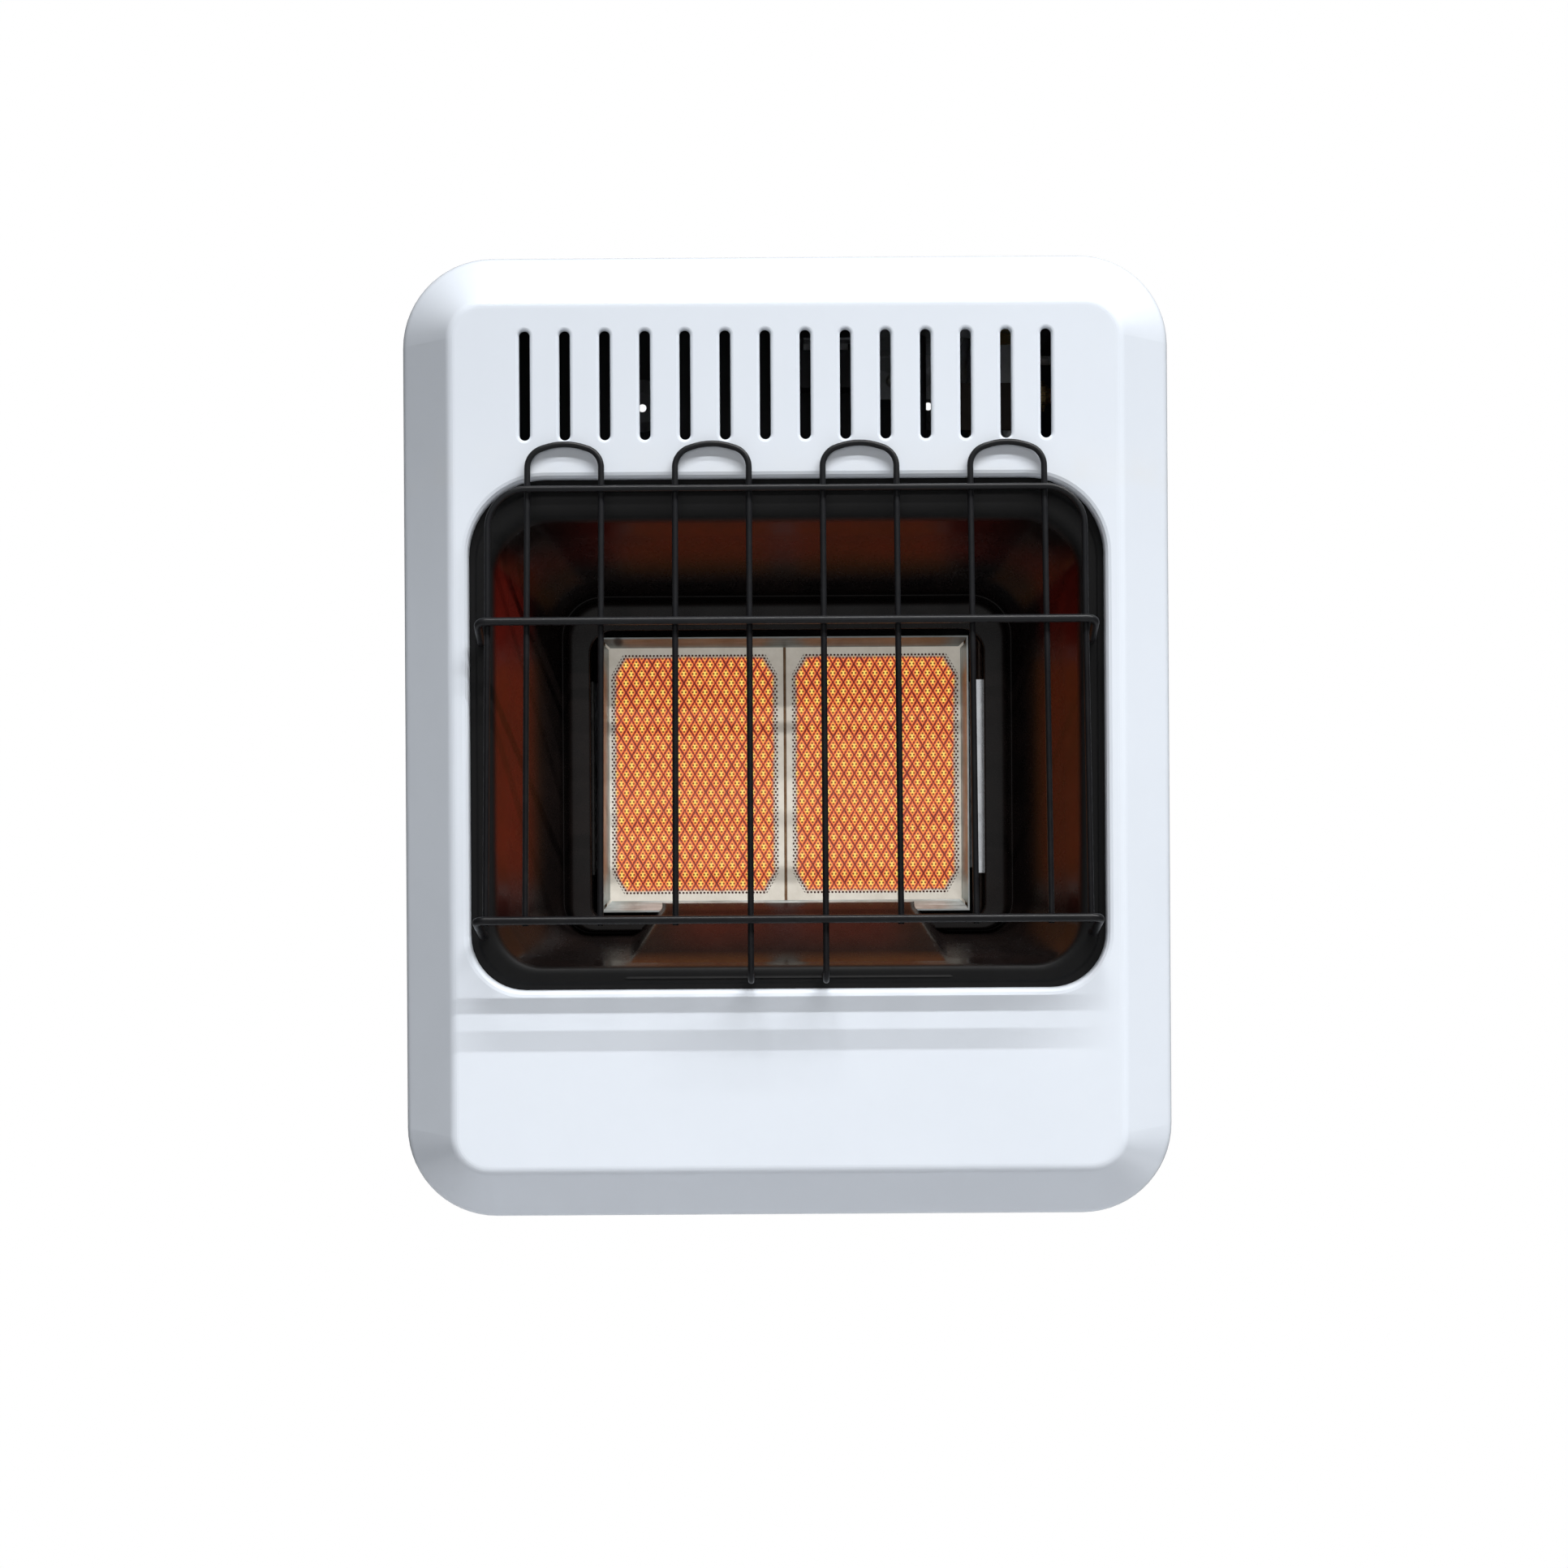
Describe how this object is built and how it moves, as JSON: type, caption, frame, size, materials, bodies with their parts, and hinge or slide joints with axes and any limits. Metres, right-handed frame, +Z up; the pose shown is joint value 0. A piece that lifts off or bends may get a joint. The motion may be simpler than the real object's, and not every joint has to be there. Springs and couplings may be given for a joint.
{
  "type": "wall mounted gas heater",
  "caption": "Wall mounted radiant gas heater: slotted white cover, black firebox with wire guard, ceramic plaque burner, gas valve with push-and-turn knob, piezo igniter button.",
  "frame": {"origin": "midway between the two upper wall screw holes, on the wall plane that the pads rest on", "axes": "+X to the right as seen from the front, +Y into the wall, +Z up"},
  "size_m": [0.384, 0.1961, 0.4855],
  "materials": {
    "cover_enamel": "gloss white stove enamel on pressed steel",
    "panel_paint": "satin dark grey paint",
    "firebox_paint": "semi-matt black heat-resistant paint",
    "galvanised_steel": "zinc-coated sheet",
    "guard_paint": "satin black paint on steel wire",
    "stainless_steel": "stainless steel, heat-tinted",
    "plaque_ceramic": "perforated refractory ceramic, glowing in use",
    "ceramic_fibre": "scorched ceramic fibre",
    "brass": "turned brass",
    "copper": "bare copper tube",
    "electrode_ceramic": "white glazed insulator",
    "cable_rubber": "black silicone-covered lead",
    "cast_alloy": "die-cast alloy",
    "brown_paint": "brown-black paint",
    "plated_steel": "zinc-plated steel",
    "spring_steel": "spring steel wire",
    "knob_plastic": "black thermoset plastic",
    "tray_paint": "fine-textured black paint",
    "igniter_plastic": "dark grey plastic",
    "button_plastic": "red plastic",
    "cutout_plastic": "dark moulded housing",
    "white_screws": "white painted screws"
  },
  "bodies": {
    "heater": {"front_cover": "cover_enamel", "back_panel": "panel_paint", "firebox": "firebox_paint", "firebox_bracket_left": "galvanised_steel", "firebox_bracket_right": "galvanised_steel", "top_heat_shield": "galvanised_steel", "guard_frame_wire": "guard_paint", "guard_arch_left_outer": "guard_paint", "guard_arch_left_inner": "guard_paint", "guard_arch_right_inner": "guard_paint", "guard_arch_right_outer": "guard_paint", "guard_mid_bar": "guard_paint", "guard_bottom_bar": "guard_paint", "burner_frame": "stainless_steel", "ceramic_plaque_left": "plaque_ceramic", "ceramic_plaque_right": "plaque_ceramic", "plaque_gasket": "ceramic_fibre", "burner_box": "galvanised_steel", "burner_bracket_left": "galvanised_steel", "burner_bracket_right": "galvanised_steel", "mixing_tube": "galvanised_steel", "injector_bracket": "galvanised_steel", "injector_holder": "brass", "injector": "brass", "pilot_bracket": "galvanised_steel", "pilot_burner": "brass", "thermocouple": "stainless_steel", "thermocouple_nut": "brass", "thermocouple_lead": "copper", "spark_electrode": "electrode_ceramic", "electrode_tip": "stainless_steel", "igniter_cable": "cable_rubber", "pilot_tube": "copper", "pilot_tube_nuts": "brass", "main_gas_tube": "copper", "main_tube_nuts": "brass", "inlet_gas_tube": "copper", "inlet_tube_nuts": "brass", "regulator_body": "cast_alloy", "regulator_cap": "cast_alloy", "regulator_bracket": "galvanised_steel", "inlet_fitting": "brass", "gas_valve_body": "cast_alloy", "valve_cover_plate": "brown_paint", "valve_bonnet": "brass", "test_nipple": "brass", "valve_bracket": "galvanised_steel", "plunger_spring": "spring_steel", "control_tray": "tray_paint", "igniter_body": "igniter_plastic", "igniter_nut": "plated_steel", "igniter_spring": "spring_steel", "overheat_cutout": "cutout_plastic", "self_tapping_screws": "plated_steel", "cover_screws": "white_screws"},
    "plunger": {"valve_plunger": "plated_steel"},
    "knob": {"valve_spindle": "plated_steel", "control_knob": "knob_plastic"},
    "button": {"igniter_button": "button_plastic"}
  },
  "joints": [
    {"name": "knob_press", "type": "slide", "parent": "heater", "child": "plunger", "axis": [0, 0, -1], "range_m": [0, 0.004], "stiffness_N_per_m": 1200, "springref_m": -0.004, "deforming": ["plunger_spring"]},
    {"name": "knob_turn", "type": "hinge", "parent": "plunger", "child": "knob", "pos_m": [0.112, -0.07, 0.04], "axis": [0, 0, -1], "range_deg": [0, 210]},
    {"name": "igniter_press", "type": "slide", "parent": "heater", "child": "button", "axis": [0, 0, -1], "range_m": [0, 0.006], "stiffness_N_per_m": 800, "springref_m": -0.004, "deforming": ["igniter_spring"]}
  ]
}
